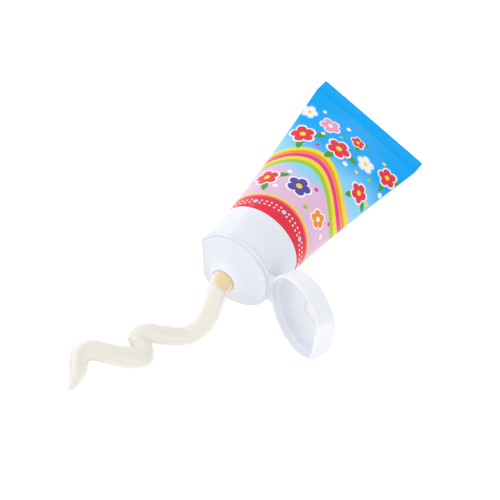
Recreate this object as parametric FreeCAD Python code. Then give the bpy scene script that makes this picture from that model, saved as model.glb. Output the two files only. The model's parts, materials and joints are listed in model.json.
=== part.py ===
"""Toothpaste tube with a flip-top cap, lid open, lying on its back with a ribbon of paste squeezed out.

The tube is drawn about its own axis: z runs from the cap joint towards the nozzle, x runs along the end
seal and y points to the printed front. It is then laid down, so that the settled underside of the sleeve
rests on the table, the nozzle points towards -Y and the front looks up. All sizes are in millimetres.
"""
import FreeCAD, Part
import math
import os

Vector = FreeCAD.Vector

# Sleeve: a printed laminate tube, round at the cap and flat at the end seal
sleeve_radius = 17.3
sleeve_length = 91.0
sleeve_wall = 0.4
seal_length = 7.0
seal_corner = 0.4
weld_length = 3.5
widening = 1.25
flattening = 1.6
edge_inset = 1.1
settle_angle = 8.0
half_steps = 8
section_shares = [0.14, 0.32, 0.55, 0.78]

# Head: the shoulder and neck inside the cap
head_wall = 1.2
neck_radius = 6.2
neck_top = 13.0
neck_bore = 4.0
shoulder_rise = 5.0
snap_bead = 0.5
bead_height = 8.6
bead_reach = 0.8
fit_clearance = 0.1

# Cap base: skirt, seat ledge, neck wall for the lid, and the bell that ends in the nozzle
skirt_step = 0.2
skirt_taper = 0.6
ledge_height = 17.7
cap_wall = 1.2
ledge_ring = 0.85
seam_width = 0.4
seam_depth = 0.2
seam_backing = 0.9
edge_break = 0.25
ledge_width = 1.2
wall_height = 1.1
wall_top_width = 0.9
bell_waist = 8.4
bell_waist_height = 3.3
nozzle_height = 6.6
nozzle_radius = 5.5
orifice_radius = 4.4
lip_round = 0.4
socket_wall = 1.5
socket_start = 6.5

# Thumb side, nearly opposite the hinge: a slanted flat on the skirt and upright flats above the ledge
hinge_turn = 23.0
thumb_turn = 5.0
recess_depth = 2.9
recess_slope = 0.5
lid_flat_depth = 3.3

# Lid: a shallow cup with a flat top and a seal ring that closes on the nozzle's lip
lid_height = 8.4
lid_top_wall = 1.1
lid_taper = 0.5
lid_edge_round = 2.2
lid_inner_round = 2.8
lid_wall = 1.25
lid_slip = 0.15
lid_step_depth = 2.2
lid_step = 0.4
seal_ring_inset = 0.4
seal_ring_wall = 1.2
lid_gap = 0.05
lid_opening = 155.0

# Living hinge: two thin straps across the hinge line, between two narrow flats
hinge_reach = 0.1
hinge_gap = 0.45
hinge_flat_height = 1.3
strap_width = 4.0
strap_thickness = 0.5
strap_offset = 5.0
strap_drop = 0.5

# Paste: what is left in the tube, and the ribbon on the table
paste_gap = 0.1
fill_drop = 2.6
fill_share = 0.86
ribbon_clearance = 0.65
ribbon_sag = 0.55
table_gap = 0.05

# How far a cutting shape runs past what it cuts
overcut = 1.0

# How finely the finished pieces are measured to find the middle of the whole object
measuring_fineness = 0.1

# Ribbon route, measured from the nozzle's mouth: sideways, forwards, height as a share of the mouth's
# height above the lying ribbon, and thickness as a share of the ribbon's
falling_run = [
    (0.1, 1.6, 1.00, 1.03),
    (0.9, 4.2, 0.95, 1.00),
    (2.8, 7.7, 0.78, 0.97),
    (4.6, 10.6, 0.47, 0.98),
    (4.8, 14.2, 0.18, 1.00),
    (3.0, 19.0, 0.02, 1.00),
    (-0.6, 23.2, 0.00, 1.00),
    (-5.6, 27.2, 0.00, 1.00),
    (-9.4, 30.4, 0.01, 0.97),
    (-11.2, 32.4, 0.01, 0.80),
    (-12.2, 34.0, 0.00, 0.45),
]
folded_leg = [
    (-13.2, 31.4, 0.02, 0.45),
    (-11.2, 32.3, 0.02, 0.88),
    (-7.8, 33.8, 0.01, 0.98),
    (-4.6, 35.6, 0.00, 0.92),
    (-2.6, 37.0, -0.01, 0.60),
]
last_run = [
    (-1.8, 35.2, -0.05, 0.50),
    (-2.9, 37.3, -0.01, 0.90),
    (-5.2, 40.3, 0.00, 1.04),
    (-8.9, 43.1, 0.00, 1.06),
    (-14.5, 46.5, 0.00, 1.04),
    (-19.1, 49.2, 0.00, 1.03),
    (-21.2, 52.4, 0.00, 1.00),
    (-20.0, 56.0, -0.03, 0.93),
    (-17.9, 59.2, -0.05, 0.80),
    (-16.3, 62.2, -0.09, 0.58),
    (-15.6, 64.8, -0.14, 0.32),
    (-15.9, 66.8, -0.17, 0.14),
]

seal_half_width = math.pi * sleeve_radius / 2
seal_half_thickness = sleeve_wall
body_length = sleeve_length - seal_length
skirt_radius = sleeve_radius + skirt_step
ledge_radius = skirt_radius - skirt_taper
wall_radius = ledge_radius - ledge_width
bell_start = wall_radius - wall_top_width
recess_distance = ledge_radius - recess_depth
lid_flat_distance = ledge_radius - lid_flat_depth
seal_ring_outer = nozzle_radius - seal_ring_inset
seal_ring_inner = seal_ring_outer - seal_ring_wall
ribbon_radius = orifice_radius - ribbon_clearance
hinge_radius = ledge_radius + hinge_reach
hinge_flat_distance = hinge_radius - hinge_gap
mouth_radius = orifice_radius - paste_gap
hinge_direction = Vector(math.cos(math.radians(hinge_turn)), math.sin(math.radians(hinge_turn)), 0)
thumb_angle = math.radians(180 + hinge_turn + thumb_turn)
thumb_direction = Vector(math.cos(thumb_angle), math.sin(thumb_angle), 0)
opening_axis = Vector(0, 0, 1).cross(hinge_direction)
hinge_point = hinge_direction * hinge_radius + Vector(0, 0, ledge_height)


def revolved(profile):
    """Turn a closed profile of (radius, height) points, or ready edges, about the tube's axis."""
    edges = []
    last = profile[0]
    for step in profile[1:] + profile[:1]:
        if isinstance(step, tuple) and len(step) == 2:
            line = Part.LineSegment(Vector(last[0], 0, last[1]), Vector(step[0], 0, step[1]))
            edges.append(line.toShape())
            last = step
        else:
            through, end = step[0:2], step[2:4]
            edges.append(Part.Arc(
                Vector(last[0], 0, last[1]), Vector(through[0], 0, through[1]), Vector(end[0], 0, end[1])
            ).toShape())
            last = end
    face = Part.Face(Part.Wire(edges))
    return face.revolve(Vector(0, 0, 0), Vector(0, 0, 1), 360)


def beyond_plane(outward, distance, slope, low, high):
    """A block that lies past an upright or slanted plane on one side of the axis, between two heights."""
    reach = 2 * skirt_radius
    across = Vector(0, 0, 1).cross(outward)
    corners = [
        outward * (distance + slope * (ledge_height - low)) + Vector(0, 0, low),
        outward * reach + Vector(0, 0, low),
        outward * reach + Vector(0, 0, high),
        outward * (distance + slope * (ledge_height - high)) + Vector(0, 0, high),
    ]
    side = Part.Face(Part.makePolygon(corners + corners[:1]))
    side.translate(across * -reach)
    return side.extrude(across * (2 * reach))


def sleeve_section(share, offset):
    """Closed section of the filled sleeve, at a share of the way from the cap joint to the seal."""
    half_width = sleeve_radius + (seal_half_width - sleeve_radius) * share ** widening
    half_width -= offset + (edge_inset * share if offset else 0)
    half_height = seal_half_thickness + (sleeve_radius - seal_half_thickness) * (1 - share ** flattening)
    half_height -= offset
    pointed = 1 + share ** 1.5
    height = -body_length * share
    if share == 0:
        side_a = Vector(half_width, 0, height)
        side_b = Vector(-half_width, 0, height)
        halves = [
            Part.Arc(side_a, Vector(0, half_width, height), side_b).toShape(),
            Part.Arc(side_b, Vector(0, -half_width, height), side_a).toShape(),
        ]
        return Part.Wire(halves)
    halves = []
    for start in (0, half_steps):
        points = []
        for step in range(start, start + half_steps + 1):
            turn = math.pi * step / half_steps
            rise = math.copysign(abs(math.sin(turn)) ** pointed, math.sin(turn)) if step % half_steps else 0.0
            points.append(Vector(half_width * math.cos(turn), half_height * rise, height))
        curve = Part.BSplineCurve()
        curve.interpolate(points)
        halves.append(curve.toShape())
    return Part.Wire(halves)


def floor_block(offset):
    """Everything under the table, raised by offset: the filled sleeve settles flat against it."""
    size = 4 * sleeve_length
    block = Part.makeBox(size, size, size, Vector(-size / 2, -size, -size / 2))
    block.rotate(Vector(0, 0, 0), Vector(1, 0, 0), settle_angle)
    lift = offset - skirt_radius * math.cos(math.radians(settle_angle))
    up = Vector(0, math.cos(math.radians(settle_angle)), math.sin(math.radians(settle_angle)))
    block.translate(up * lift)
    return block


def filled_body(offset, last_share):
    """The sleeve's filled length as one solid, pulled in by offset, with its settled underside."""
    shares = [0.0, weld_length / body_length / 2] + section_shares + [last_share]
    sections = [sleeve_section(share, offset) for share in shares]
    body = Part.makeLoft(sections, True, False)
    return body.cut(floor_block(offset))


def tube_sleeve():
    body = filled_body(0, 1.0)
    seal = Part.makeBox(
        2 * seal_half_width, 2 * seal_half_thickness, seal_length,
        Vector(-seal_half_width, -seal_half_thickness, -sleeve_length),
    )
    corners = [
        edge for edge in seal.Edges
        if abs(edge.CenterOfMass.z + sleeve_length) < 0.01
        and abs(abs(edge.CenterOfMass.x) - seal_half_width) < 0.01
    ]
    seal = seal.makeChamfer(seal_corner, corners)
    cavity = filled_body(sleeve_wall, 0.97)
    return body.fuse(seal).cut(cavity)


def tube_head():
    rim = sleeve_radius - sleeve_wall - fit_clearance
    inner = rim - head_wall
    outer = revolved([
        (0, -weld_length), (rim, -weld_length), (rim, 0), (skirt_radius - cap_wall - fit_clearance, 0),
        (neck_radius, shoulder_rise), (neck_radius, bead_height - bead_reach),
        (neck_radius + snap_bead, bead_height), (neck_radius, bead_height + bead_reach),
        (neck_radius, neck_top), (0, neck_top),
    ])
    hollow = revolved([
        (0, -weld_length - overcut), (inner, -weld_length - overcut), (inner, -head_wall / 2),
        (neck_bore, shoulder_rise - head_wall), (neck_bore, neck_top + overcut), (0, neck_top + overcut),
    ])
    return outer.cut(hollow)


def cap_outside():
    """The cap base without its hollows."""
    ring_foot = ledge_height - ledge_ring
    seam_foot = ring_foot - seam_width
    top = ledge_height + nozzle_height
    wall_top = ledge_height + wall_height
    outside = revolved([
        (0, fit_clearance), (skirt_radius, fit_clearance), (ledge_radius, seam_foot),
        (ledge_radius - seam_depth, seam_foot), (ledge_radius - seam_depth, ring_foot),
        (ledge_radius, ring_foot), (ledge_radius, ledge_height - edge_break),
        (ledge_radius - edge_break, ledge_height),
        (wall_radius, ledge_height), (wall_radius, wall_top - edge_break),
        (wall_radius - edge_break, wall_top), (bell_start, wall_top + edge_break / 2),
        (bell_waist, ledge_height + bell_waist_height, nozzle_radius, top - lip_round),
        (nozzle_radius - 0.3 * lip_round, top - 0.3 * lip_round, nozzle_radius - lip_round, top),
        (0, top),
    ])
    outside = outside.cut(beyond_plane(thumb_direction, recess_distance, recess_slope, 0, ledge_height))
    hinge_flat_foot = ledge_height - hinge_flat_height
    hinge_flat = beyond_plane(hinge_direction, hinge_flat_distance, 0, hinge_flat_foot, ledge_height)
    outside = outside.cut(hinge_flat)
    flat = lid_flat_distance - lid_wall - fit_clearance
    return outside.cut(beyond_plane(thumb_direction, flat, 0, ledge_height, top + overcut))


def cap_base():
    ceiling = ledge_height - ledge_ring - seam_width - seam_backing
    collar = neck_radius + fit_clearance + socket_wall
    skirt_inside = skirt_radius - cap_wall
    top_inside = ledge_radius - seam_depth - seam_backing
    hollow = revolved([
        (collar, -overcut), (skirt_inside, -overcut), (skirt_inside, fit_clearance), (top_inside, ceiling),
        (collar, ceiling),
    ])
    thumb_inside = recess_distance - cap_wall
    hollow = hollow.cut(beyond_plane(thumb_direction, thumb_inside, recess_slope, -overcut, ledge_height))
    socket = neck_radius + fit_clearance
    neck_socket = revolved([
        (0, -overcut), (collar + overcut, -overcut), (collar + overcut, socket_start), (socket, socket_start),
        (socket, bead_height - bead_reach - fit_clearance), (socket + snap_bead, bead_height - fit_clearance),
        (socket + snap_bead, bead_height + fit_clearance), (socket, bead_height + bead_reach + fit_clearance),
        (socket, neck_top + fit_clearance), (0, neck_top + fit_clearance),
    ])
    top = ledge_height + nozzle_height
    orifice = revolved([
        (0, neck_top), (orifice_radius, neck_top), (orifice_radius, top - lip_round),
        (orifice_radius + lip_round, top), (orifice_radius + lip_round, top + overcut), (0, top + overcut),
    ])
    return cap_outside().cut(hollow).cut(neck_socket).cut(orifice)


def lid_outside():
    """The closed lid without its hollow."""
    foot = ledge_height + lid_gap
    top = ledge_height + lid_height
    side = ledge_radius - lid_taper
    bulge = lid_edge_round * (1 - math.sqrt(0.5))
    outside = revolved([
        (0, foot), (ledge_radius - edge_break, foot), (ledge_radius, foot + edge_break),
        (side, top - lid_edge_round),
        (side - bulge, top - bulge, side - lid_edge_round, top), (0, top),
    ])
    outside = outside.cut(beyond_plane(hinge_direction, hinge_flat_distance, 0, ledge_height, top + overcut))
    return outside.cut(beyond_plane(thumb_direction, lid_flat_distance, 0, ledge_height, top + overcut))


def opened(shape):
    """Swing a shape from the closed lid's place to the open one."""
    shape.rotate(hinge_point, opening_axis, lid_opening)
    return shape


def cap_lid():
    foot = ledge_height - overcut
    ceiling = ledge_height + lid_height - lid_top_wall
    step_height = ledge_height + lid_step_depth
    mouth = wall_radius + lid_slip
    inner = mouth - lid_step
    bulge = lid_inner_round * (1 - math.sqrt(0.5))
    hollow = revolved([
        (0, foot), (mouth, foot), (mouth, step_height), (inner, step_height + lid_step),
        (inner, ceiling - lid_inner_round),
        (inner - bulge, ceiling - bulge, inner - lid_inner_round, ceiling),
        (0, ceiling),
    ])
    thumb_wall = lid_flat_distance - lid_wall
    hollow = hollow.cut(beyond_plane(thumb_direction, thumb_wall, 0, foot, ceiling + overcut))
    ring_foot = ledge_height + nozzle_height + fit_clearance
    ring = revolved([
        (seal_ring_inner, ring_foot + edge_break), (seal_ring_inner + edge_break, ring_foot),
        (seal_ring_outer - edge_break, ring_foot), (seal_ring_outer, ring_foot + edge_break),
        (seal_ring_outer, ceiling + lid_top_wall / 2), (seal_ring_inner, ceiling + lid_top_wall / 2),
    ])
    return opened(lid_outside().cut(hollow).fuse(ring))


def hinge_straps():
    """Two thin webs from the ledge ring's wall to the open lid's wall, just behind the hinge line."""
    turn = math.radians(lid_opening)
    from_axis = Vector(-hinge_gap, strap_drop, 0)
    far_out = from_axis.x * math.cos(turn) + from_axis.y * math.sin(turn)
    far_up = -from_axis.x * math.sin(turn) + from_axis.y * math.cos(turn)
    near = hinge_direction * -hinge_gap + Vector(0, 0, -strap_drop)
    far = hinge_direction * far_out + Vector(0, 0, far_up)
    along = far - near
    along.normalize()
    thick = opening_axis.cross(along)
    reach = strap_offset + strap_width
    start = hinge_point + near - along * reach / 4 - thick * strap_thickness / 2
    length = (far - near).Length + reach / 2
    straps = []
    for side in (-strap_offset, strap_offset):
        corner = start + opening_axis * (side - strap_width / 2)
        corners = [
            corner, corner + along * length,
            corner + along * length + opening_axis * strap_width, corner + opening_axis * strap_width,
        ]
        strap = Part.Face(Part.makePolygon(corners + corners[:1])).extrude(thick * strap_thickness)
        straps.append(strap.cut(cap_outside()).cut(opened(lid_outside())))
    return Part.makeCompound([strap.Solids[0] for strap in straps])


def paste_fill():
    inner = sleeve_radius - sleeve_wall - fit_clearance - head_wall - paste_gap
    top = ledge_height + nozzle_height - fill_drop
    body = filled_body(sleeve_wall + paste_gap, fill_share)
    cut_height = weld_length + paste_gap
    above = Part.makeBox(4 * skirt_radius, 4 * skirt_radius, sleeve_length, Vector(
        -2 * skirt_radius, -2 * skirt_radius, -cut_height))
    column = revolved([
        (0, -cut_height - overcut), (inner, -cut_height - overcut), (inner, -head_wall / 2 - paste_gap),
        (neck_bore - paste_gap, shoulder_rise - head_wall - paste_gap), (neck_bore - paste_gap, top),
        (0, top),
    ])
    return body.cut(above).fuse(column)


def laid_down(shape):
    """Turn a shape from the tube's own axes to the table: nozzle to -Y, front up."""
    shape.rotate(Vector(0, 0, 0), Vector(1, 0, 0), 90 - settle_angle)
    shape.translate(Vector(0, 0, skirt_radius * math.cos(math.radians(settle_angle))))
    return shape


def ribbon_points(run):
    """Places and radii of a run of the ribbon, none of them under the table."""
    mouth = ledge_height + nozzle_height
    slope = math.radians(settle_angle)
    mouth_height = (skirt_radius - ribbon_sag) * math.cos(slope) + mouth * math.sin(slope)
    points = []
    for sideways, forwards, rise, thickness in run:
        radius = ribbon_radius * thickness
        height = ribbon_radius + rise * (mouth_height - ribbon_radius)
        height = max(height, radius + table_gap)
        points.append((Vector(sideways, -mouth * math.cos(slope) - forwards, height), radius))
    return points


def tube_through(points, first_direction=None):
    """A solid of round sections through the points."""
    circles = []
    for index, (place, radius) in enumerate(points):
        before = points[max(index - 1, 0)][0]
        after = points[min(index + 1, len(points) - 1)][0]
        direction = after - before
        if index == 0 and first_direction is not None:
            direction = first_direction
        circles.append(Part.Wire(Part.Circle(place, direction, radius).toShape()))
    return Part.makeLoft(circles, True, False)


def paste_ribbon():
    slope = math.radians(settle_angle)
    out = Vector(0, -math.cos(slope), math.sin(slope))
    mouth_point = ribbon_points([(0, 0, 1, 1)])[0][0] + Vector(0, 0, ribbon_sag * math.cos(slope))
    depth = fill_drop - paste_gap
    start = mouth_point - out * depth
    in_mouth = Part.makeCylinder(mouth_radius, depth, start, out)
    inside = [(start, ribbon_radius), (mouth_point, ribbon_radius)]
    falling = tube_through(inside + ribbon_points(falling_run), out)
    leg = tube_through(ribbon_points(folded_leg))
    last = tube_through(ribbon_points(last_run))
    return falling.fuse(in_mouth).fuse(leg).fuse(last)


def build():
    """Every piece in its place on the table, with the origin under the middle of the whole object."""
    pieces = {
        "tube_sleeve": laid_down(tube_sleeve()),
        "tube_head": laid_down(tube_head()),
        "cap_base": laid_down(cap_base()),
        "cap_lid": laid_down(cap_lid()),
        "hinge_straps": laid_down(hinge_straps()),
        "paste_fill": laid_down(paste_fill()),
        "paste_ribbon": paste_ribbon(),
    }
    corners = []
    for shape in pieces.values():
        corners += shape.tessellate(measuring_fineness)[0]
    across = [corner.x for corner in corners]
    along = [corner.y for corner in corners]
    middle = Vector(-(min(across) + max(across)) / 2, -(min(along) + max(along)) / 2, 0)
    for shape in pieces.values():
        shape.translate(middle)
    return pieces, middle


def main():
    os.makedirs("parts", exist_ok=True)
    pieces, middle = build()
    for name, shape in pieces.items():
        box = shape.BoundBox
        limits = [round(value, 2) for value in (box.XMin, box.XMax, box.YMin, box.YMax, box.ZMin, box.ZMax)]
        print(name, "valid", shape.isValid(), "solids", len(shape.Solids), "volume", round(shape.Volume, 1))
        print("    box", limits)
        shape.exportStep(os.path.join("parts", name + ".step"))
    print("shift", middle)


main()
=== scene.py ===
"""Looks of the toothpaste tube: printed laminate, moulded flip-top cap, wet paste and the studio.

Sizes in this file are millimetres where a name ends in _mm or a function says so, and metres elsewhere.
"""
import json
import math

import bmesh
import bpy
import numpy as np
from mathutils import Matrix, Vector


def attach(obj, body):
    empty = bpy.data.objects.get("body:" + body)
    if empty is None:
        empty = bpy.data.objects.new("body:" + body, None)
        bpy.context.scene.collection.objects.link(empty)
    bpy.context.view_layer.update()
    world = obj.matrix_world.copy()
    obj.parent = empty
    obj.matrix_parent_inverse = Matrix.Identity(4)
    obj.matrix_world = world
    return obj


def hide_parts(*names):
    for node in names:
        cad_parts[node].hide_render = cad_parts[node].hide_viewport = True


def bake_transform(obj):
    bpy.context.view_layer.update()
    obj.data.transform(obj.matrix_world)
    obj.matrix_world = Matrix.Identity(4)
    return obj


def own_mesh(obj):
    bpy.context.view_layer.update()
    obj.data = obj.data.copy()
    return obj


bl_info = {
    "name": "Toothpaste Tube Looks",
    "version": (1, 0, 0),
    "blender": (4, 5, 0),
    "location": "3D View > Sidebar > Tube",
    "description": "Dresses the packed toothpaste tube and sets up its studio",
    "category": "Object",
}

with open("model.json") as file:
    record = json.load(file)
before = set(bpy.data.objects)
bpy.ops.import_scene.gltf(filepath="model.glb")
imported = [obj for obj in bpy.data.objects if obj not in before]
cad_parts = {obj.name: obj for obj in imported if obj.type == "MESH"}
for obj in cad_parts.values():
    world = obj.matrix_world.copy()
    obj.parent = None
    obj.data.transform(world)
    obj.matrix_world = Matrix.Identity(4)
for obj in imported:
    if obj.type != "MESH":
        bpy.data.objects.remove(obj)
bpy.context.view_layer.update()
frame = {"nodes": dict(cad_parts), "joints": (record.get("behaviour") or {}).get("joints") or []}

MM = 0.001

# The tube's own axes at rest, and the point where its axis meets the foot of the cap, found from the
# hinge's place in the frame
settle_angle = math.radians(8.0)
hinge_turn = math.radians(23.0)
skirt_radius_mm = 17.5
hinge_radius_mm = 17.0
ledge_height_mm = 17.7
toward_nozzle = np.array([0.0, -math.cos(settle_angle), math.sin(settle_angle)])
toward_front = np.array([0.0, math.sin(settle_angle), math.cos(settle_angle)])
sideways = np.array([1.0, 0.0, 0.0])
toward_hinge = math.cos(hinge_turn) * sideways + math.sin(hinge_turn) * toward_front
hinge_joint = next(joint for joint in frame["joints"] if joint["name"] == "lid_hinge")
joint_middle_mm = (np.array(hinge_joint["pos_m"]) / MM - hinge_radius_mm * toward_hinge
                   - ledge_height_mm * toward_nozzle)

# The sleeve's form, as the solid has it
sleeve_radius_mm = 17.3
sleeve_length_mm = 90.7
seal_length_mm = 6.7
seal_half_thickness_mm = 0.36
seal_corner_mm = 0.35
seal_start_mm = 0.8
seal_edge_sharpness = 0.12
wall_mm = 0.3
widening = 1.25
flattening = 1.6
sharpening = 1.5
seal_half_width_mm = math.pi * sleeve_radius_mm / 2
girth_mm = 2 * math.pi * sleeve_radius_mm
filled_length_mm = sleeve_length_mm - seal_length_mm

# The nozzle's mouth and the route of the paste, as the solid has them
mouth_height_mm = 24.3
mouth_radius_mm = 4.3
paste_depth_mm = 2.5
ribbon_radius_mm = 3.75
ribbon_sag_mm = 0.55


class PrintedSleeveSettings(bpy.types.PropertyGroup):
    sky: bpy.props.FloatVectorProperty(
        name="Sky blue", description="Ground colour at the end seal", subtype="COLOR",
        default=(0.0, 0.41, 0.97))
    pale: bpy.props.FloatVectorProperty(
        name="Pale blue", description="Ground colour in the middle", subtype="COLOR",
        default=(0.28, 0.68, 0.96))
    lilac: bpy.props.FloatVectorProperty(
        name="Lilac", description="Ground colour near the cap", subtype="COLOR",
        default=(0.80, 0.52, 0.73))
    red: bpy.props.FloatVectorProperty(
        name="Red", description="Band at the cap and the larger flowers", subtype="COLOR",
        default=(0.80, 0.035, 0.07))
    rib_count: bpy.props.IntProperty(
        name="Seal ribs", description="Number of fine ribs pressed into the end seal",
        default=57, min=2)
    rib_pitch: bpy.props.FloatProperty(
        name="Rib pitch", description="Distance from rib to rib", default=0.92 * MM, subtype="DISTANCE",
        unit="LENGTH", precision=5)
    rib_height: bpy.props.FloatProperty(
        name="Rib height", description="How far a rib stands out of the seal", default=0.012 * MM,
        subtype="DISTANCE", unit="LENGTH", precision=5)


class CapSettings(bpy.types.PropertyGroup):
    plastic: bpy.props.FloatVectorProperty(
        name="Plastic", description="Colour of the moulded cap and lid", subtype="COLOR",
        default=(0.82, 0.843, 0.91))
    shadow_tint: bpy.props.FloatVectorProperty(
        name="Flow tint", description="Colour of the faint flow marks in the moulding", subtype="COLOR",
        default=(0.785, 0.81, 0.885))
    # Painted light: a paler colour near the nozzle, a glow standing in for light through the thin wall
    # there
    painted_mouth_glow: bpy.props.FloatVectorProperty(
        name="Painted mouth glow", description="Painted glow on the moulding at the nozzle, for light through its thin wall",
        subtype="COLOR", default=(0.88, 0.90, 0.955))


class PasteSettings(bpy.types.PropertyGroup):
    cream: bpy.props.FloatVectorProperty(
        name="Cream", description="Paste in a thin ribbon", subtype="COLOR",
        default=(0.86, 0.83, 0.755))
    # Painted shade: the amber stands in for the shade inside the nozzle, on paste that is cream
    amber: bpy.props.FloatVectorProperty(
        name="Amber", description="Painted shade in the paste at the mouth, for the shade inside the nozzle", subtype="COLOR",
        default=(0.86, 0.68, 0.40))
    fineness: bpy.props.FloatProperty(
        name="Fineness", description="Mesh size of the ribbon", default=0.24 * MM, subtype="DISTANCE",
        unit="LENGTH", precision=5)


class StudioSettings(bpy.types.PropertyGroup):
    floor_colour: bpy.props.FloatVectorProperty(
        name="Floor", description="Colour of the plain floor", subtype="COLOR",
        default=(0.94, 0.93, 0.91))
    sky_light: bpy.props.FloatProperty(
        name="Sky light", description="Strength of the even light from all sides", default=1.02, min=0.0)


def local_point(across_mm, front_mm, along_mm):
    """Row-frame place, in metres, of a point given along the tube's own axes in millimetres."""
    place = (joint_middle_mm + np.multiply.outer(across_mm, sideways)
             + np.multiply.outer(front_mm, toward_front) + np.multiply.outer(along_mm, toward_nozzle))
    return place * MM


def plain_object(name, data):
    piece = bpy.data.objects.new(name, data)
    bpy.context.scene.collection.objects.link(piece)
    return piece


def mesh_from_rings(name, places):
    """A mesh of quads from places[row, column], each row a closed ring."""
    rows, columns = places.shape[:2]
    mesh = bpy.data.meshes.new(name)
    faces = []
    for row in range(rows - 1):
        for column in range(columns):
            beside = (column + 1) % columns
            faces.append((
                row * columns + column, row * columns + beside,
                (row + 1) * columns + beside, (row + 1) * columns + column))
    mesh.from_pydata(places.reshape(-1, 3).tolist(), [], faces)
    return mesh


def finished_mesh(piece, name):
    """The piece with its modifiers applied, as a plain mesh in a new object; the old one is removed."""
    graph = bpy.context.evaluated_depsgraph_get()
    mesh = bpy.data.meshes.new_from_object(piece.evaluated_get(graph), depsgraph=graph)
    bpy.data.objects.remove(piece)
    mesh.name = name
    return plain_object(name, mesh)


def coat(mesh, material):
    """Give the mesh this one material."""
    mesh.materials.clear()
    mesh.materials.append(material)


def feed(tree, value, socket):
    """Link an output to the socket, or set a fixed value there."""
    if hasattr(value, "node"):
        tree.links.new(value, socket)
    else:
        socket.default_value = value


def wired(tree, kind, **inputs):
    """A new node with its named inputs fed; an underscore stands for a space."""
    node = tree.nodes.new(kind)
    for name, value in inputs.items():
        feed(tree, value, node.inputs[name.replace("_", " ")])
    return node


def number(tree, operation, *inputs):
    """The result of a Math node."""
    node = tree.nodes.new("ShaderNodeMath")
    node.operation = operation
    for index, value in enumerate(inputs):
        feed(tree, value, node.inputs[index])
    return node.outputs[0]


def vector_maths(tree, operation, place, other):
    """The outputs of a Vector Math node: Vector for a difference, Value for a distance."""
    node = tree.nodes.new("ShaderNodeVectorMath")
    node.operation = operation
    feed(tree, place, node.inputs[0])
    feed(tree, other, node.inputs[1])
    return node.outputs


def soft_step(tree, value, start, end):
    """0 up to start, 1 from end on, smooth between; start may be the larger."""
    node = wired(tree, "ShaderNodeMapRange", Value=value, From_Min=start, From_Max=end)
    node.interpolation_type = "SMOOTHSTEP"
    return node.outputs["Result"]


def painted(tree, mask, under, over):
    """The colour over, laid on the colour under where mask is 1."""
    node = tree.nodes.new("ShaderNodeMix")
    node.data_type = "RGBA"
    tree.links.new(mask, node.inputs["Factor"])
    for socket, colour in ((node.inputs["A"], under), (node.inputs["B"], over)):
        feed(tree, colour if hasattr(colour, "node") else (*colour, 1.0), socket)
    return node.outputs["Result"]


def split_vector(tree, vector):
    return wired(tree, "ShaderNodeSeparateXYZ", Vector=vector).outputs


def noise(tree, vector, scale, detail):
    return wired(tree, "ShaderNodeTexNoise", Vector=vector, Scale=scale, Detail=detail).outputs["Fac"]


def new_group(name, inputs, outputs):
    group = bpy.data.node_groups.new(name, "ShaderNodeTree")
    for socket_name, kind in inputs:
        group.interface.new_socket(name=socket_name, in_out="INPUT", socket_type=kind)
    for socket_name, kind in outputs:
        group.interface.new_socket(name=socket_name, in_out="OUTPUT", socket_type=kind)
    return group, group.nodes.new("NodeGroupInput"), group.nodes.new("NodeGroupOutput")


def flower_group():
    """Masks of a five-petalled flower: Place on the print, Middle and Size in mm, Turn in radians."""
    group, given, result = new_group(
        "Five-petalled flower",
        [("Place", "NodeSocketVector"), ("Middle", "NodeSocketVector"), ("Size", "NodeSocketFloat"),
         ("Turn", "NodeSocketFloat")],
        [("Rim", "NodeSocketFloat"), ("Petals", "NodeSocketFloat"), ("Heart", "NodeSocketFloat")])
    place, middle = given.outputs["Place"], given.outputs["Middle"]
    across, along, _ = split_vector(group, vector_maths(group, "SUBTRACT", place, middle)["Vector"])
    distance = vector_maths(group, "DISTANCE", place, middle)["Value"]
    reach = number(group, "DIVIDE", distance, given.outputs["Size"])
    angle = number(group, "ADD", number(group, "ARCTAN2", along, across), given.outputs["Turn"])
    lobe = number(group, "ABSOLUTE", number(group, "COSINE", number(group, "MULTIPLY", angle, 2.5)))
    rounded_lobe = number(group, "POWER", lobe, 0.6)
    edge = number(group, "MULTIPLY_ADD", rounded_lobe, 1.0 - PETAL_NOTCH, PETAL_NOTCH)
    inside = number(group, "SUBTRACT", edge, reach)
    group.links.new(soft_step(group, inside, -0.17, -0.13), result.inputs["Rim"])
    group.links.new(soft_step(group, inside, 0.0, 0.05), result.inputs["Petals"])
    heart = number(group, "SUBTRACT", HEART_SHARE, reach)
    group.links.new(soft_step(group, heart, 0.0, 0.05), result.inputs["Heart"])
    return group


def spot_group():
    """Mask of a round spot: Place on the print, Middle, and Size, its radius, all in mm."""
    group, given, result = new_group(
        "Round spot",
        [("Place", "NodeSocketVector"), ("Middle", "NodeSocketVector"), ("Size", "NodeSocketFloat")],
        [("Spot", "NodeSocketFloat")])
    distance = vector_maths(group, "DISTANCE", given.outputs["Place"], given.outputs["Middle"])["Value"]
    inside = number(group, "SUBTRACT", given.outputs["Size"], distance)
    group.links.new(soft_step(group, inside, -0.08, 0.08), result.inputs["Spot"])
    return group


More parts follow.
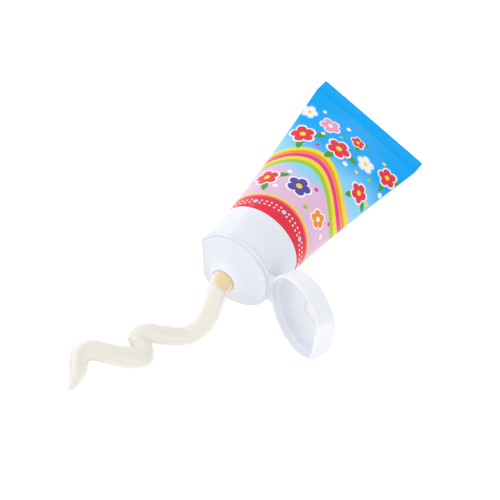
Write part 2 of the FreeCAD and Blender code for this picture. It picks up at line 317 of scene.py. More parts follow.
def leaf_group():
    """Mask of a pointed leaf: Place, Middle and Size, half its length, in mm, and Turn in radians."""
    group, given, result = new_group(
        "Leaf",
        [("Place", "NodeSocketVector"), ("Middle", "NodeSocketVector"), ("Size", "NodeSocketFloat"),
         ("Turn", "NodeSocketFloat")],
        [("Leaf", "NodeSocketFloat")])
    middle = given.outputs["Middle"]
    turned = wired(group, "ShaderNodeVectorRotate", Vector=given.outputs["Place"], Center=middle,
                   Angle=given.outputs["Turn"])
    turned.rotation_type = "Z_AXIS"
    along, across, _ = split_vector(
        group, vector_maths(group, "SUBTRACT", turned.outputs["Vector"], middle)["Vector"])
    share_along = number(group, "DIVIDE", along, given.outputs["Size"])
    share_across = number(group, "DIVIDE", number(group, "ABSOLUTE", across), given.outputs["Size"])
    narrowing = number(group, "MULTIPLY", share_along, share_along)
    inside = number(group, "SUBTRACT", 1.0, narrowing)
    inside = number(group, "SUBTRACT", inside, number(group, "MULTIPLY", share_across, LEAF_SLIMNESS))
    group.links.new(soft_step(group, inside, 0.0, 0.1), result.inputs["Leaf"])
    return group


def placed_group(tree, group, place, **values):
    """The outputs of a motif's group, set at its own place on the print."""
    node = tree.nodes.new("ShaderNodeGroup")
    node.node_tree = group
    tree.links.new(place, node.inputs["Place"])
    for name, value in values.items():
        node.inputs[name].default_value = value
    return node.outputs


# Inks of the print; RED stands for the red in the sleeve's settings
RED = "red"
WHITE = (0.93, 0.93, 0.95)
YELLOW = (0.90, 0.74, 0.02)
MAGENTA = (0.87, 0.04, 0.33)
ORANGE = (0.90, 0.30, 0.04)
LIME = (0.38, 0.62, 0.04)
PURPLE = (0.11, 0.07, 0.40)
PINK = (0.90, 0.34, 0.55)
ICE = (0.45, 0.75, 0.93)
GREEN = (0.07, 0.34, 0.03)

# Motifs of the print, in mm across from the front's middle line and along from the cap. A flower also
# has its size, its turn in radians and its inks, and a spot its radius and its ink.
FLOWERS = [
    (2.5, 58.5, 5.6, 0.8, RED, YELLOW), (-17.5, 49.0, 4.8, 1.1, RED, YELLOW),
    (19.5, 55.0, 5.6, 0.3, RED, YELLOW), (-10.5, 64.0, 4.3, 0.1, WHITE, YELLOW),
    (12.5, 69.0, 4.6, 0.5, PINK, WHITE), (-21.5, 69.5, 4.8, 0.4, RED, YELLOW),
    (-1.5, 71.5, 3.4, 0.2, RED, YELLOW), (24.0, 70.0, 3.6, 0.9, WHITE, YELLOW),
    (3.0, 23.5, 5.2, 0.9, PURPLE, YELLOW), (-12.0, 19.0, 4.0, 0.6, ORANGE, WHITE),
    (17.0, 21.0, 5.0, 0.2, RED, YELLOW), (38.0, 40.0, 5.4, 0.7, RED, YELLOW),
    (-38.0, 62.0, 5.4, 0.2, RED, YELLOW), (-34.0, 21.0, 4.4, 0.4, PURPLE, YELLOW),
    (44.0, 64.0, 4.6, 0.9, WHITE, YELLOW), (-50.0, 44.0, 4.8, 0.6, PINK, WHITE),
]
PETAL_NOTCH = 0.62
HEART_SHARE = 0.28
LEAF_TURNS = (2.3, 4.1)
LEAF_REACH = 1.25
LEAF_SIZE = 0.72
LEAF_SLIMNESS = 2.4
SPOTS = [
    (-4.0, 53.5, 1.3, WHITE), (10.5, 52.5, 1.1, MAGENTA), (-16.0, 74.5, 1.0, YELLOW),
    (5.5, 75.0, 1.1, WHITE), (-16.5, 59.0, 1.0, LIME), (28.5, 61.5, 1.1, YELLOW),
    (-25.5, 60.0, 1.3, WHITE), (5.5, 66.5, 0.9, LIME), (10.5, 17.0, 1.1, WHITE),
    (-4.5, 17.0, 1.1, LIME), (23.5, 14.5, 1.1, YELLOW), (-3.0, 28.5, 1.0, MAGENTA),
    (-19.5, 17.5, 1.1, WHITE), (26.0, 22.5, 1.3, WHITE), (-24.5, 50.5, 1.1, YELLOW),
    (18.5, 75.5, 0.9, WHITE), (31.0, 52.0, 1.2, LIME), (-30.0, 54.0, 1.2, YELLOW),
    (40.0, 22.0, 1.3, YELLOW), (-44.0, 72.0, 1.2, WHITE), (12.5, 61.5, 1.0, WHITE),
    (-10.0, 55.5, 0.9, YELLOW), (-17.5, 24.0, 0.9, MAGENTA), (10.5, 28.5, 1.0, WHITE),
]

# Fields of the print, in mm along from the cap; a swell is how far a wavy line rises and falls
INK_BLUR_MM = 0.06
LILAC_TO_PALE_MM = (28.0, 38.0)
PALE_TO_SKY_MM = (41.0, 62.0)
GROUND_SWELL_MM = 4.0
SWELL_START = 0.9
ARC_MIDDLE_MM = 34.0
ARC_SWELL_MM = 6.5
STRIPES = [(-3.9, LIME), (-1.3, YELLOW), (1.3, MAGENTA), (3.9, ORANGE), (6.5, YELLOW)]
STRIPE_WIDTH_MM = 2.6
BAND_TOP_MM = 7.6
BAND_SWELL_MM = 2.2
BAND_LINES = [(2.3, YELLOW), (1.5, ORANGE), (0.7, MAGENTA), (0.0, RED)]
BAND_ROW_MM = 3.2
BAND_ROWS_APART_MM = 0.9
BAND_SPOT_PITCH_MM = 12.08
BAND_DOT_PITCH_MM = 2.013
DOT_BLUR_MM = 0.07
WHITE_EDGE_MM = (0.5, 0.38)


def print_place(tree):
    """Place on the print in mm: across from the front's middle, along from the cap joint."""
    flat = tree.nodes.new("ShaderNodeUVMap")
    flat.uv_map = "Print"
    stretch = tree.nodes.new("ShaderNodeMapping")
    stretch.inputs["Location"].default_value = (-girth_mm / 2, 0.0, 0.0)
    stretch.inputs["Scale"].default_value = (girth_mm, sleeve_length_mm, 1.0)
    tree.links.new(flat.outputs["UV"], stretch.inputs["Vector"])
    return stretch.outputs["Vector"]


def print_colour(tree, place, sleeve):
    """The whole print as flat fields of colour, waves, flowers and spots."""
    red = tuple(sleeve.red)
    across, along, _ = split_vector(tree, place)
    turn = number(tree, "MULTIPLY", across, 4 * math.pi / girth_mm)
    swell = number(tree, "SINE", number(tree, "ADD", turn, SWELL_START))
    ground_place = number(tree, "MULTIPLY_ADD", swell, GROUND_SWELL_MM, along)
    paler = soft_step(tree, ground_place, *LILAC_TO_PALE_MM)
    colour = painted(tree, paler, tuple(sleeve.lilac), tuple(sleeve.pale))
    bluer = soft_step(tree, ground_place, *PALE_TO_SKY_MM)
    colour = painted(tree, bluer, colour, tuple(sleeve.sky))

    middle = number(tree, "MULTIPLY_ADD", swell, ARC_SWELL_MM, ARC_MIDDLE_MM)
    from_middle = number(tree, "SUBTRACT", along, middle)
    for start, ink in STRIPES:
        begun = soft_step(tree, from_middle, start - INK_BLUR_MM, start + INK_BLUR_MM)
        not_over = number(tree, "LESS_THAN", from_middle, start + STRIPE_WIDTH_MM)
        colour = painted(tree, number(tree, "MULTIPLY", begun, not_over), colour, ink)

    flower, spot, leaf = flower_group(), spot_group(), leaf_group()
    for across_mm, along_mm, size, turned, petals, heart in FLOWERS:
        centre = (across_mm, along_mm, 0.0)
        leaf_ways = [turned + way for way in LEAF_TURNS] if petals == RED else []
        for way in leaf_ways:
            reach = LEAF_REACH * size
            middle = (across_mm + reach * math.cos(way), along_mm + reach * math.sin(way), 0.0)
            mask = placed_group(tree, leaf, place, Middle=middle, Size=LEAF_SIZE * size, Turn=-way)
            colour = painted(tree, mask["Leaf"], colour, GREEN)
        masks = placed_group(tree, flower, place, Middle=centre, Size=size, Turn=turned)
        colour = painted(tree, masks["Rim"], colour, ICE if petals == WHITE else WHITE)
        colour = painted(tree, masks["Petals"], colour, red if petals == RED else petals)
        colour = painted(tree, masks["Heart"], colour, heart)
    for across_mm, along_mm, radius, ink in SPOTS:
        mask = placed_group(tree, spot, place, Middle=(across_mm, along_mm, 0.0), Size=radius)
        colour = painted(tree, mask["Spot"], colour, ink)

    ripple = number(tree, "COSINE", turn)
    band_top = number(tree, "MULTIPLY_ADD", ripple, BAND_SWELL_MM, BAND_TOP_MM)
    to_band = number(tree, "SUBTRACT", along, band_top)
    for reach, ink in BAND_LINES:
        line = soft_step(tree, to_band, reach + INK_BLUR_MM, reach - INK_BLUR_MM)
        colour = painted(tree, line, colour, red if ink == RED else ink)
    row = number(tree, "ADD", to_band, BAND_ROW_MM)
    rows = number(tree, "SUBTRACT", number(tree, "ABSOLUTE", row), BAND_ROWS_APART_MM)
    for pitch, aside, radius, ink in ((BAND_DOT_PITCH_MM, rows, 0.42, WHITE),
                                      (BAND_SPOT_PITCH_MM, row, 1.5, red),
                                      (BAND_SPOT_PITCH_MM, row, 0.95, ICE)):
        reach = number(tree, "PINGPONG", across, pitch / 2)
        apart = number(tree, "SQRT", number(tree, "MULTIPLY_ADD", reach, reach,
                                            number(tree, "MULTIPLY", aside, aside)))
        dot = soft_step(tree, apart, radius + DOT_BLUR_MM, radius - DOT_BLUR_MM)
        colour = painted(tree, dot, colour, ink)
    return painted(tree, soft_step(tree, along, *WHITE_EDGE_MM), colour, WHITE)


def new_material(name, roughness, **shader_values):
    """A material with its tree, its shader and its Object coordinates."""
    material = bpy.data.materials.new(name)
    material.use_nodes = True
    tree = material.node_tree
    shader = tree.nodes["Principled BSDF"]
    shader.inputs["Roughness"].default_value = roughness
    for socket, value in shader_values.items():
        shader.inputs[socket.replace("_", " ")].default_value = value
    coordinates = tree.nodes.new("ShaderNodeTexCoord")
    return material, tree, shader, coordinates.outputs["Object"]


def add_bump(tree, shader, height, strength, distance):
    bump = wired(tree, "ShaderNodeBump", Height=height, Strength=strength, Distance=distance)
    tree.links.new(bump.outputs["Normal"], shader.inputs["Normal"])


def laminate_material(sleeve):
    """Glossy printed laminate, faintly rippled, with patches rubbed duller by handling."""
    material, tree, shader, place = new_material("Printed laminate", 0.12, Specular_IOR_Level=0.12)
    colour = print_colour(tree, print_place(tree), sleeve)
    tree.links.new(colour, shader.inputs["Base Color"])
    rub = soft_step(tree, noise(tree, place, scale=260.0, detail=4.0), 0.35, 0.75)
    rough = number(tree, "MULTIPLY_ADD", rub, 0.06, 0.1)
    tree.links.new(rough, shader.inputs["Roughness"])
    coarse = noise(tree, place, scale=90.0, detail=2.0)
    fine = noise(tree, place, scale=900.0, detail=2.0)
    ripple = number(tree, "MULTIPLY_ADD", fine, 0.08, coarse)
    add_bump(tree, shader, ripple, strength=0.12, distance=0.4 * MM)
    return material


def plastic_material(name, cap, roughness, glow, depth_mm):
    """White moulded plastic, with painted light at the nozzle: paler there, a glow standing in for light
    through the thin wall.

    Glow is the share of light that it lets in, and depth_mm how far the light goes.
    """
    material, tree, shader, place = new_material(
        name, roughness, IOR=1.5, Subsurface_Weight=glow, Subsurface_Radius=(1.0, 1.0, 1.0),
        Subsurface_Scale=depth_mm * MM)
    flow = soft_step(tree, noise(tree, place, scale=45.0, detail=3.0), 0.3, 0.75)
    colour = painted(tree, flow, tuple(cap.plastic), tuple(cap.shadow_tint))
    # Painted glow: within a few mm of the mouth the colour turns paler, standing in for light through
    # the thin wall
    mouth = local_point(0.0, 0.0, mouth_height_mm)
    from_mouth = vector_maths(tree, "DISTANCE", place, mouth)["Value"]
    near = soft_step(tree, from_mouth, 9.0 * MM, 4.5 * MM)
    tree.links.new(painted(tree, near, colour, tuple(cap.painted_mouth_glow)), shader.inputs["Base Color"])
    grain = noise(tree, place, scale=1500.0, detail=3.0)
    rough = number(tree, "MULTIPLY_ADD", grain, 0.12, roughness - 0.05)
    tree.links.new(rough, shader.inputs["Roughness"])
    add_bump(tree, shader, grain, strength=0.06, distance=0.1 * MM)
    return material


def paste_material(name, paste):
    """Wet paste: cream in the ribbon, with painted shade just in front of the mouth, amber standing in
    for the shade inside the nozzle.
    """
    material, tree, shader, place = new_material(
        name, 0.16, IOR=1.42, Subsurface_Weight=0.35, Subsurface_Radius=(1.0, 0.85, 0.55),
        Subsurface_Scale=1.6 * MM, Coat_Weight=0.5, Coat_Roughness=0.05, Sheen_Weight=0.3)
    # Painted shade: amber round a point just inside the mouth, fading to cream within a few mm, standing
    # in for the shade inside the nozzle
    nozzle_shade_middle = local_point(0.7, 2.0, mouth_height_mm + 1.4)
    from_nozzle_shade = vector_maths(tree, "DISTANCE", place, nozzle_shade_middle)["Value"]
    thin = soft_step(tree, from_nozzle_shade, 3.0 * MM, 4.6 * MM)
    streak = noise(tree, place, scale=140.0, detail=3.0)
    cream = painted(tree, streak, tuple(paste.cream), tuple(0.96 * part for part in paste.cream))
    tree.links.new(painted(tree, thin, tuple(paste.amber), cream), shader.inputs["Base Color"])
    rough = number(tree, "MULTIPLY_ADD", streak, 0.1, 0.12)
    tree.links.new(rough, shader.inputs["Roughness"])
    add_bump(tree, shader, streak, strength=0.1, distance=0.3 * MM)
    return material


def sleeve_section(share):
    """Half width and half height in mm, and edge sharpness, at a share of the filled length."""
    half_width = sleeve_radius_mm + (seal_half_width_mm - sleeve_radius_mm) * share ** widening
    half_height = (seal_half_thickness_mm
                   + (sleeve_radius_mm - seal_half_thickness_mm) * (1 - share ** flattening))
    return half_width, half_height, 1 + share ** sharpening


def section_loop(along_mm, columns):
    """Places across and to the front, evenly spread round the section, from the back's middle line."""
    share = min(along_mm / filled_length_mm, 1.0)
    half_width, half_height, sharpness = sleeve_section(share)
    fine_steps = 2001
    turn = np.linspace(-math.pi / 2, 3 * math.pi / 2, fine_steps)
    rise = np.sign(np.sin(turn)) * np.abs(np.sin(turn)) ** sharpness
    if along_mm > filled_length_mm:
        blend = min((along_mm - filled_length_mm) / seal_start_mm, 1.0)
        boxy = np.sign(np.sin(turn)) * np.abs(np.sin(turn)) ** seal_edge_sharpness
        rise = rise * (1 - blend) + boxy * blend
        corner = max(0.0, along_mm - sleeve_length_mm + seal_corner_mm)
        half_width = min(half_width, seal_half_width_mm - corner)
    across = half_width * np.cos(turn)
    front = half_height * rise
    run = np.concatenate([[0.0], np.cumsum(np.hypot(np.diff(across), np.diff(front)))])
    even = np.linspace(0, run[-1], columns + 1)[:-1]
    return np.interp(even, run, across), np.interp(even, run, front)


def swelling(place, middle, spread):
    """1 at the middle, falling off to 0 on both sides."""
    return np.exp(-((place - middle) / spread) ** 2)


def soft_dents(across, along_mm, front):
    """How far the laminate gives, in mm: a low crown and, beside the end seal, shallow hollows."""
    hollow = 0.7 * swelling(np.abs(across), 14.5, 6.0) * swelling(along_mm, 78.0, 7.0)
    crown = 0.35 * swelling(across, 0.0, 9.0) * swelling(along_mm, 58.0, 16.0)
    fade_at_seal = min(1.0, abs(along_mm - filled_length_mm) / 8.0)
    return np.sign(front) * (crown - hollow) * fade_at_seal


def sleeve_stations():
    """Places along the sleeve, in mm, closer together at the cap, beside the seal and on its edges."""
    shoulder_mm, hollows_mm = 6, 78
    seal_flat_mm = filled_length_mm + seal_start_mm
    corner_start_mm = sleeve_length_mm - seal_corner_mm
    return np.concatenate([
        np.linspace(0, shoulder_mm, 5)[:-1],
        np.linspace(shoulder_mm, hollows_mm, 61)[:-1],
        np.linspace(hollows_mm, filled_length_mm, 13),
        np.linspace(filled_length_mm, seal_flat_mm, 4)[1:],
        np.linspace(seal_flat_mm, corner_start_mm, 5)[1:],
        [sleeve_length_mm - seal_corner_mm / 2, sleeve_length_mm]])


def close_last_ring(work, first_of_last, columns):
    """Faces across the flat end of the seal, from the back's half of the last ring to the front's."""
    for step in range(columns // 2 - 1):
        corners = []
        for index in (step, step + 1, columns - step - 1, (columns - step) % columns):
            vertex = work.verts[first_of_last + index]
            if vertex not in corners:
                corners.append(vertex)
        work.faces.new(corners)


def lay_out_print(work, stations, columns):
    """UV of the flat sheet: share of the girth, and share of the sleeve's length."""
    layer = work.loops.layers.uv.new("Print")
    for face in work.faces:
        ring = [loop.vert.index % columns for loop in face.loops]
        wraps = max(ring) - min(ring) > columns / 2
        for loop, column in zip(face.loops, ring):
            share = column / columns
            if wraps and column < columns / 2 and len(face.verts) == 4:
                share += 1.0
            loop[layer].uv = (share, stations[loop.vert.index // columns] / sleeve_length_mm)


class TUBE_OT_printed_sleeve(bpy.types.Operator):
    """Build the printed laminate sleeve with its pressed end seal"""
    bl_idname = "tube.printed_sleeve"
    bl_label = "Printed Sleeve"

    def execute(self, context):
        sleeve = context.scene.tube_sleeve
        columns = 220
        lift_off_table = 0.02 * MM
        stations = sleeve_stations()
        rows = []
        for along_mm in stations:
            across, front = section_loop(along_mm, columns)
            front = front + soft_dents(across, along_mm, front)
            rows.append(local_point(across, front, np.full(columns, -along_mm)))
        places = np.array(rows)
        places[..., 2] = np.maximum(places[..., 2], lift_off_table)
        mesh = mesh_from_rings("printed_sleeve", places)
        work = bmesh.new()
        work.from_mesh(mesh)
        work.verts.ensure_lookup_table()
        close_last_ring(work, (len(stations) - 1) * columns, columns)
        work.verts.index_update()
        lay_out_print(work, stations, columns)
        bmesh.ops.recalc_face_normals(work, faces=work.faces)
        work.to_mesh(mesh)
        work.free()
        piece = plain_object("printed_sleeve", mesh)
        wall = piece.modifiers.new("Wall", "SOLIDIFY")
        wall.thickness = wall_mm * MM
        wall.offset = -1.0
        piece = finished_mesh(piece, "printed_sleeve")
        piece.data.shade_smooth()
        coat(piece.data, laminate_material(sleeve))
        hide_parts("tube_sleeve")
        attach(piece, "tube")
        return {"FINISHED"}


def rib_tree():
    """Geometry nodes for the row of fine ribs across the end seal."""
    tree = bpy.data.node_groups.new("Seal ribs", "GeometryNodeTree")
    for name, kind in (("Geometry", "NodeSocketGeometry"), ("Count", "NodeSocketInt"),
                       ("Pitch", "NodeSocketFloat"), ("Length", "NodeSocketFloat"),
                       ("Width", "NodeSocketFloat"), ("Thickness", "NodeSocketFloat"),
                       ("Place", "NodeSocketVector"), ("Turn", "NodeSocketRotation"),
                       ("Material", "NodeSocketMaterial")):
        tree.interface.new_socket(name=name, in_out="INPUT", socket_type=kind)
    tree.interface.new_socket(name="Geometry", in_out="OUTPUT", socket_type="NodeSocketGeometry")
    given = tree.nodes.new("NodeGroupInput").outputs
    steps_back = number(tree, "MULTIPLY_ADD", given["Count"], -0.5, 0.5)
    first_place = number(tree, "MULTIPLY", given["Pitch"], steps_back)
    start = wired(tree, "ShaderNodeCombineXYZ", X=first_place)
    step = wired(tree, "ShaderNodeCombineXYZ", X=given["Pitch"])
    line = wired(tree, "GeometryNodeMeshLine", Count=given["Count"],
                 Start_Location=start.outputs["Vector"], Offset=step.outputs["Vector"])
    rod = wired(tree, "GeometryNodeMeshCylinder", Vertices=10, Radius=0.5, Depth=1.0)
    size = wired(tree, "ShaderNodeCombineXYZ", X=given["Width"], Y=given["Thickness"],
                 Z=given["Length"])
    rib = wired(tree, "GeometryNodeTransform", Geometry=rod.outputs["Mesh"],
                Scale=size.outputs["Vector"])
    row = wired(tree, "GeometryNodeInstanceOnPoints", Points=line.outputs["Mesh"],
                Instance=rib.outputs["Geometry"])
    placed = wired(tree, "GeometryNodeTransform", Geometry=row.outputs["Instances"],
                   Translation=given["Place"], Rotation=given["Turn"])
    whole = wired(tree, "GeometryNodeRealizeInstances", Geometry=placed.outputs["Geometry"])
    painted_row = wired(tree, "GeometryNodeSetMaterial", Geometry=whole.outputs["Geometry"],
                        Material=given["Material"])
    wired(tree, "NodeGroupOutput", Geometry=painted_row.outputs["Geometry"])
    return tree


class TUBE_OT_seal_ribs(bpy.types.Operator):
    """Lay the fine pressed ribs across the end seal"""
    bl_idname = "tube.seal_ribs"
    bl_label = "Seal Ribs"

    def execute(self, context):
        sleeve = context.scene.tube_sleeve
        tree = rib_tree()
        piece = plain_object("seal_ribs", bpy.data.meshes.new("seal_ribs"))
        modifier = piece.modifiers.new("Ribs", "NODES")
        modifier.node_group = tree
        toward_edge_mm = 0.2
        middle = local_point(0.0, 0.0, -(sleeve_length_mm - seal_length_mm / 2 - toward_edge_mm))
        values = {
            "Count": sleeve.rib_count, "Pitch": sleeve.rib_pitch, "Length": 5.4 * MM, "Width": 0.6 * MM,
            "Thickness": 2 * (seal_half_thickness_mm * MM + sleeve.rib_height),
            "Place": tuple(middle), "Turn": (math.pi / 2 - settle_angle, 0.0, 0.0),
            "Material": bpy.data.materials["Printed laminate"],
        }
        for item in tree.interface.items_tree:
            if item.in_out == "INPUT" and item.name in values:
                modifier[item.identifier] = values[item.name]
        piece = finished_mesh(piece, "seal_ribs")
        layer = piece.data.uv_layers.new(name="Print")
        for loop in piece.data.loops:
            place = np.array(piece.data.vertices[loop.vertex_index].co) / MM - joint_middle_mm
            share = 0.5 + float(place @ sideways) / girth_mm
            layer.data[loop.index].uv = (share, -float(place @ toward_nozzle) / sleeve_length_mm)
        piece.data.shade_smooth()
        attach(piece, "tube")
        return {"FINISHED"}


def film_between_straps(work, pivot_mm):
    """Fill the slot between the straps with a copy of one, stretched along the hinge to meet both."""
    axis = np.cross(toward_nozzle, toward_hinge)

    def along(vertex):
        return float((np.array(vertex.co) / MM - pivot_mm) @ axis)

    strap = [face for face in work.faces if all(along(vertex) > 0 for vertex in face.verts)]
    copied = bmesh.ops.duplicate(work, geom=strap)["geom"]
    film = [item for item in copied if isinstance(item, bmesh.types.BMVert)]
    places = [along(vertex) for vertex in film]
    inner, outer = min(places), max(places)
    for vertex, place in zip(film, places):
        share = (place - inner) / (outer - inner)
        vertex.co += Vector(axis * (inner * (2 * share - 1) - place) * MM)


class TUBE_OT_cap(bpy.types.Operator):
    """Finish the moulded cap, its lid, the hinge straps and the tube's head"""
    bl_idname = "tube.cap"
    bl_label = "Cap and Lid"

    def execute(self, context):
        cap = context.scene.tube_cap
        plastic = plastic_material("Cap plastic", cap, roughness=0.36, glow=0.1, depth_mm=1.2)
        thin = plastic_material("Lid plastic", cap, roughness=0.36, glow=0.7, depth_mm=3.0)
        head = plastic_material("Head plastic", cap, roughness=0.5, glow=0.1, depth_mm=1.2)
        for node, material in (("cap_base", plastic), ("cap_lid", thin), ("tube_head", head)):
            coat(frame["nodes"][node].data, material)
        longest_edge = 0.45 * MM
        mesh = frame["nodes"]["hinge_straps"].data.copy()
        straps = plain_object("film_hinge", mesh)
        work = bmesh.new()
        work.from_mesh(mesh)
        bmesh.ops.remove_doubles(work, verts=work.verts, dist=1e-6)
        bmesh.ops.dissolve_limit(work, angle_limit=math.radians(1.0), verts=work.verts, edges=work.edges)
        pivot = np.array(hinge_joint["pos_m"])
        film_between_straps(work, pivot / MM)
        bmesh.ops.triangulate(work, faces=work.faces)
        for _ in range(3):
            long_edges = [edge for edge in work.edges if edge.calc_length() > longest_edge]
            bmesh.ops.subdivide_edges(work, edges=long_edges, cuts=1, use_grid_fill=True)
            bmesh.ops.triangulate(work, faces=work.faces)
        bmesh.ops.recalc_face_normals(work, faces=work.faces)
        work.to_mesh(mesh)
        work.free()
        coat(mesh, plastic)
        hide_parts("hinge_straps")
        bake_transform(straps)
        return {"FINISHED"}


# The ribbon's runs: sideways and forwards from the mouth in mm, then the height and the thickness as
# shares of the mouth's height and of the ribbon's own thickness
FALLING_RUN = [
    (0.1, 1.6, 0.99, 1.09), (0.9, 4.2, 0.95, 1.03), (2.8, 7.7, 0.78, 0.98), (4.6, 10.6, 0.47, 0.98),
    (4.8, 14.2, 0.18, 1.00), (3.0, 19.0, 0.02, 1.00), (-0.6, 23.2, 0.00, 1.00), (-5.6, 27.0, 0.01, 1.00),
    (-9.4, 30.0, 0.03, 0.95), (-11.4, 31.7, 0.02, 0.78), (-12.8, 33.0, 0.00, 0.42),
]
FOLDED_LEG = [
    (-13.4, 32.6, -0.04, 0.45), (-11.3, 33.4, -0.03, 0.86), (-7.8, 34.6, -0.02, 0.94),
    (-4.4, 36.0, 0.00, 0.94), (-2.4, 37.2, -0.01, 0.70),
]
LAST_RUN = [
    (-1.8, 35.2, -0.05, 0.55), (-2.9, 37.3, -0.01, 0.92), (-5.2, 40.3, 0.00, 1.05),
    (-8.9, 43.1, 0.00, 1.07), (-14.5, 46.5, 0.00, 1.06), (-19.1, 49.2, 0.00, 1.05),
    (-21.2, 52.4, 0.00, 1.02), (-20.0, 56.0, -0.03, 0.95), (-17.9, 59.2, -0.05, 0.82),
    (-16.3, 62.2, -0.09, 0.60), (-15.6, 64.8, -0.14, 0.34), (-15.9, 66.8, -0.17, 0.14),
]


def ribbon_places(run):
    """Places and radii along a run, in mm, in the row frame."""
    table_gap_mm = 0.05
    forward = mouth_height_mm * math.cos(settle_angle)
    mouth_rise = ((skirt_radius_mm - ribbon_sag_mm) * math.cos(settle_angle)
                  + mouth_height_mm * math.sin(settle_angle))
    places = []
    for aside, ahead, rise, thickness in run:
        radius = ribbon_radius_mm * thickness
        height = max(ribbon_radius_mm + rise * (mouth_rise - ribbon_radius_mm), radius + table_gap_mm)
        x = joint_middle_mm[0] + aside
        y = joint_middle_mm[1] - forward - ahead
        places.append((x, y, height, radius))
    return np.array(places)


def curved_through(places, spacing_mm):
    """Points close together on a smooth curve through the given ones."""
    padded = np.vstack([2 * places[0] - places[1], places, 2 * places[-1] - places[-2]])
    points = []
    for before, start, end, after in zip(padded, padded[1:], padded[2:], padded[3:]):
        steps = max(2, int(np.linalg.norm(end[:3] - start[:3]) / spacing_mm))
        for share in np.linspace(0, 1, steps, endpoint=False):
            points.append(0.5 * (2 * start + (end - before) * share
                                 + (2 * before - 5 * start + 4 * end - after) * share ** 2
                                 + (3 * start - before - 3 * end + after) * share ** 3))
    points.append(places[-1])
    return np.array(points)


def paste_tube(name, places, ridges, pleats):
    """A tube of paste through the places, settled on the table.

    Ridges are how deep the long ridges are at the start and at the end, and pleats how deep the pleats
    across the paste are at the start, all as shares of its radius.
    """
    line = curved_through(places, 0.5)
    sides = 48
    table_gap_mm = 0.06
    slump = 1.03
    ridge_count, ridge_twist = 5, 1.2
    pleat_turn, pleat_fading = 34, 1.6
    turn = np.linspace(0, 2 * math.pi, sides, endpoint=False)
    rows = []
    for index, (x, y, z, radius) in enumerate(line):
        direction = line[min(index + 1, len(line) - 1), :3] - line[max(index - 1, 0), :3]
        direction /= np.linalg.norm(direction)
        aside = np.cross(direction, (0, 0, 1))
        aside /= np.linalg.norm(aside)
        above = np.cross(aside, direction)
        share = index / (len(line) - 1)
        depth = ridges[0] + (ridges[1] - ridges[0]) * share ** 2
        ridge = depth * np.cos(ridge_count * turn + ridge_twist * share)
        pleat = pleats * math.cos(pleat_turn * share) * max(0.0, 1 - pleat_fading * share)
        reach = radius * (1 + pleat + ridge)
        ring = (np.array([x, y, z]) + np.outer(reach * np.cos(turn) * slump, aside)
                + np.outer(reach * np.sin(turn) * (2 - slump), above))
        rows.append(ring)
    places_mm = np.array(rows)
    places_mm[..., 2] = np.maximum(places_mm[..., 2], table_gap_mm)
    mesh = mesh_from_rings(name, places_mm * MM)
    work = bmesh.new()
    work.from_mesh(mesh)
    bmesh.ops.holes_fill(work, edges=[edge for edge in work.edges if edge.is_boundary])
    bmesh.ops.recalc_face_normals(work, faces=work.faces)
    work.to_mesh(mesh)
    work.free()
    return mesh


class TUBE_OT_paste(bpy.types.Operator):
    """Squeeze the ribbon of paste out of the nozzle and colour the paste inside it"""
    bl_idname = "tube.paste"
    bl_label = "Paste"

    def execute(self, context):
        paste = context.scene.tube_paste
        coat(frame["nodes"]["paste_fill"].data, paste_material("Deep paste", paste))
        filled = [np.append(local_point(0.0, 0.0, mouth_height_mm - depth) / MM, mouth_radius_mm)
                  for depth in (paste_depth_mm, paste_depth_mm / 2, 0.0)]
        falling = np.vstack([filled, ribbon_places(FALLING_RUN)])
        work = bmesh.new()
        for run, ridges, pleats in ((falling, (0.0, 0.015), 0.0),
                                    (ribbon_places(FOLDED_LEG), (0.02, 0.02), 0.05),
                                    (ribbon_places(LAST_RUN), (0.01, 0.2), 0.0)):
            part = paste_tube("paste_part", run, ridges, pleats)
            work.from_mesh(part)
            bpy.data.meshes.remove(part)
        mesh = bpy.data.meshes.new("paste_squeezed")
        work.to_mesh(mesh)
        work.free()
        piece = plain_object("paste_squeezed", mesh)
        skin = piece.modifiers.new("Skin", "REMESH")
        skin.mode = "VOXEL"
        skin.voxel_size = paste.fineness
        soften = piece.modifiers.new("Soften", "SMOOTH")
        soften.factor = 0.5
        soften.iterations = 6
        piece = finished_mesh(piece, "paste_squeezed")
        lift_off_table = 0.04 * MM
        for vertex in piece.data.vertices:
            vertex.co.z = max(vertex.co.z, lift_off_table)
        piece.data.shade_smooth()
        coat(piece.data, paste_material("Squeezed paste", paste))
        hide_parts("paste_ribbon")
        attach(piece, "tube")
        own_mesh(piece)
        return {"FINISHED"}


# Soft round lamps: name, place and size across in metres, and watts
LAMPS = [
    ("key_light", (-0.55, 0.25, 0.75), 0.6, 1.0),
    ("front_light", (-0.8, -0.5, 0.3), 0.4, 1.1),
    ("edge_light", (-0.65, 0.45, 0.04), 0.12, 0.3),
    ("fill_light", (0.65, -0.35, 0.6), 0.7, 1.3),
]
LAMPS_AIM_AT = (0.0, 0.0, 0.01)

# The camera, as fitted to the round edges of the cap in the photo
CAMERA_VIEW = (-0.05778, 0.49611, -0.86633)
CAMERA_UP = (-0.656, 0.63527, 0.40755)
CAMERA_ASIDE_MM = 33.435
CAMERA_BACK_MM = 297.635
CAMERA_HEIGHT_MM = 529.365
SENSOR_MM = 36.0
FOCAL_PIXELS = 1525.95
PHOTO_PIXELS = 500


def area_light(name, place, toward, size, watts):
    data = bpy.data.lights.new(name, "AREA")
    data.shape = "DISK"
    data.size = size
    data.energy = watts
    lamp = plain_object(name, data)
    lamp.location = place
    lamp.rotation_euler = (Vector(toward) - Vector(place)).to_track_quat("-Z", "Y").to_euler()


def seen_directly(tree):
    """1 for what the camera sees, straight, through glass or mirrored in a gloss."""
    path = tree.nodes.new("ShaderNodeLightPath")
    bent = number(tree, "MAXIMUM", path.outputs["Is Glossy Ray"], path.outputs["Is Transmission Ray"])
    return number(tree, "MAXIMUM", path.outputs["Is Camera Ray"], bent)


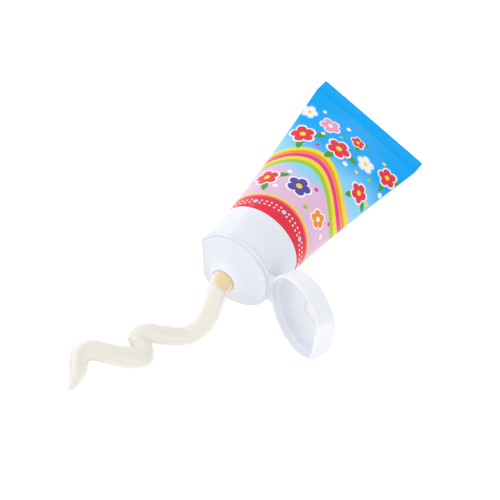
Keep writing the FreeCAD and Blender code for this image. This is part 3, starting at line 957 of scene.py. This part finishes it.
class TUBE_OT_studio(bpy.types.Operator):
    """Set up the white floor, the soft lights and the camera"""
    bl_idname = "tube.studio"
    bl_label = "Studio"

    def execute(self, context):
        scene = context.scene
        studio = scene.tube_studio
        floor = plain_object("floor", bpy.data.meshes.new("floor"))
        reach = 3.0
        corners = [(-reach, -reach, 0), (reach, -reach, 0), (reach, reach, 0), (-reach, reach, 0)]
        floor.data.from_pydata(corners, [], [(0, 1, 2, 3)])
        material = bpy.data.materials.new("White floor")
        material.use_nodes = True
        tree = material.node_tree
        shader = tree.nodes["Principled BSDF"]
        shader.inputs["Base Color"].default_value = (*studio.floor_colour, 1.0)
        shader.inputs["Roughness"].default_value = 0.9
        shader.inputs["Specular IOR Level"].default_value = 0.1
        glow = number(tree, "MULTIPLY", seen_directly(tree), 0.5)
        shader.inputs["Emission Color"].default_value = (1.0, 1.0, 1.0, 1.0)
        tree.links.new(glow, shader.inputs["Emission Strength"])
        floor.data.materials.append(material)

        world = bpy.data.worlds.new("Studio")
        scene.world = world
        world.use_nodes = True
        tree = world.node_tree
        background = tree.nodes["Background"]
        background.inputs["Color"].default_value = (1.0, 1.0, 1.0, 1.0)
        direction = tree.nodes.new("ShaderNodeTexCoord").outputs["Generated"]
        height = split_vector(tree, direction)[2]
        overhead = soft_step(tree, height, 0.3, 0.95)
        dimmer = number(tree, "MULTIPLY_ADD", overhead, -0.4, 1.0)
        strength = number(tree, "MULTIPLY", dimmer, studio.sky_light)
        tree.links.new(number(tree, "MAXIMUM", seen_directly(tree), strength),
                       background.inputs["Strength"])

        for name, place, size, watts in LAMPS:
            area_light(name, place, LAMPS_AIM_AT, size, watts)

        camera = plain_object("camera", bpy.data.cameras.new("camera"))
        view = Vector(CAMERA_VIEW).normalized()
        up = Vector(CAMERA_UP)
        up = (up - up.dot(view) * view).normalized()
        aside = view.cross(up)
        turn = Matrix((aside, up, -view)).transposed()
        place = Vector((joint_middle_mm[0] + CAMERA_ASIDE_MM, joint_middle_mm[1] - CAMERA_BACK_MM,
                        CAMERA_HEIGHT_MM)) * MM
        camera.matrix_world = Matrix.Translation(place) @ turn.to_4x4()
        camera.data.sensor_width = SENSOR_MM
        camera.data.lens = FOCAL_PIXELS * SENSOR_MM / PHOTO_PIXELS
        camera.data.clip_start = 0.01
        scene.camera = camera
        scene.view_settings.view_transform = "Standard"
        return {"FINISHED"}


class TUBE_PT_panel(bpy.types.Panel):
    """Shows the tube's settings and the buttons that build its pieces"""
    bl_idname = "TUBE_PT_panel"
    bl_label = "Toothpaste Tube"
    bl_space_type = "VIEW_3D"
    bl_region_type = "UI"
    bl_category = "Tube"

    def draw(self, context):
        scene = context.scene
        for settings in (scene.tube_sleeve, scene.tube_cap, scene.tube_paste, scene.tube_studio):
            box = self.layout.box()
            for name in settings.__annotations__:
                box.prop(settings, name)
        for operator in OPERATORS:
            self.layout.operator(operator.bl_idname)


OPERATORS = (
    TUBE_OT_printed_sleeve, TUBE_OT_seal_ribs, TUBE_OT_cap, TUBE_OT_paste, TUBE_OT_studio,
)
SETTINGS = {
    "tube_sleeve": PrintedSleeveSettings, "tube_cap": CapSettings,
    "tube_paste": PasteSettings, "tube_studio": StudioSettings,
}


def register():
    for kind in (*SETTINGS.values(), *OPERATORS, TUBE_PT_panel):
        bpy.utils.register_class(kind)
    for name, kind in SETTINGS.items():
        setattr(bpy.types.Scene, name, bpy.props.PointerProperty(type=kind))


def unregister():
    for name in SETTINGS:
        delattr(bpy.types.Scene, name)
    for kind in (TUBE_PT_panel, *reversed(OPERATORS), *reversed(SETTINGS.values())):
        bpy.utils.unregister_class(kind)


def main():
    register()
    bpy.ops.tube.printed_sleeve()
    bpy.ops.tube.seal_ribs()
    bpy.ops.tube.cap()
    bpy.ops.tube.paste()
    bpy.ops.tube.studio()


if __name__ == "__main__":
    main()
